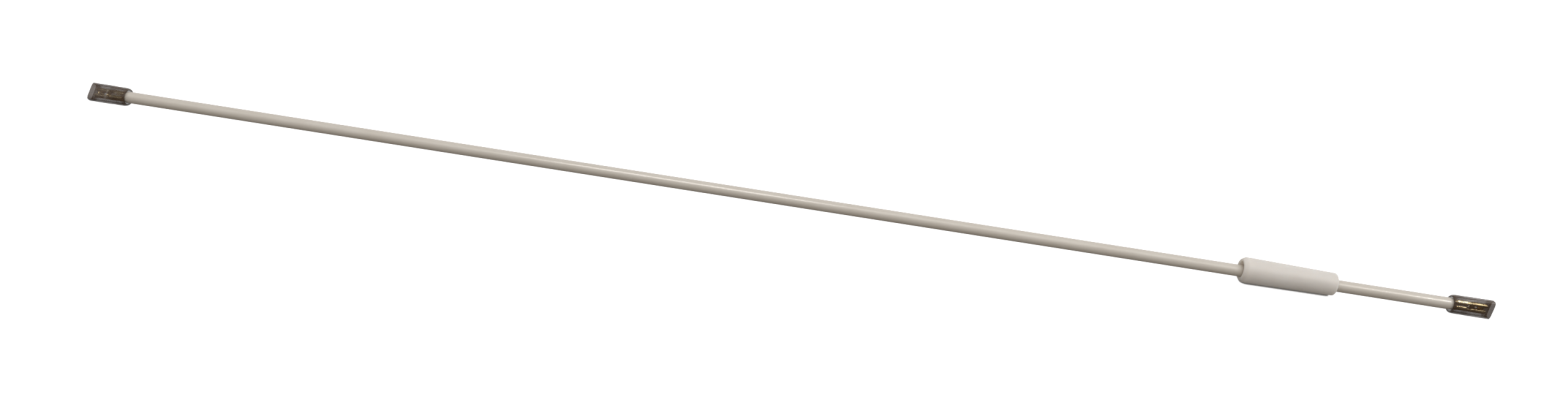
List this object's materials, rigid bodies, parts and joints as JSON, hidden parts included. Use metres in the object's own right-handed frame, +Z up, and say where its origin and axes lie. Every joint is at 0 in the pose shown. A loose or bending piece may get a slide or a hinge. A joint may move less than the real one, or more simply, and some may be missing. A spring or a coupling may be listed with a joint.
{
  "type": "flame sensor lead",
  "caption": "Straight high-temperature flame-sense lead with a hooded push-on receptacle at each end and a loose insulating sleeve that slides along it.",
  "frame": {"origin": "on the surface that the sleeve rests on, under the middle of the lead", "axes": "+X along the lead, from the left terminal to the right terminal; +Z up; +Y across"},
  "size_m": [0.762, 0.0136, 0.0136],
  "materials": {
    "jacket_silicone": "smooth cream-white silicone rubber with a soft sheen",
    "tinned_copper": "tinned copper wire",
    "receptacle_brass": "stamped brass, bright on its folds",
    "smoky_hood": "smoky translucent flexible vinyl",
    "white_sleeve": "satin white moulded insulating sleeve"
  },
  "bodies": {
    "lead": {"jacket": "jacket_silicone", "wire_core": "tinned_copper", "wire_1": "tinned_copper", "wire_2": "tinned_copper", "wire_3": "tinned_copper", "wire_4": "tinned_copper", "wire_5": "tinned_copper", "wire_6": "tinned_copper", "left_receptacle": "receptacle_brass", "right_receptacle": "receptacle_brass", "left_hood": "smoky_hood", "right_hood": "smoky_hood"},
    "sleeve": {"sleeve": "white_sleeve"}
  },
  "joints": [
    {"name": "sleeve_slide", "type": "slide", "parent": "lead", "child": "sleeve", "axis": [1, 0, 0], "range_m": [-0.6091, 0.0601]}
  ]
}
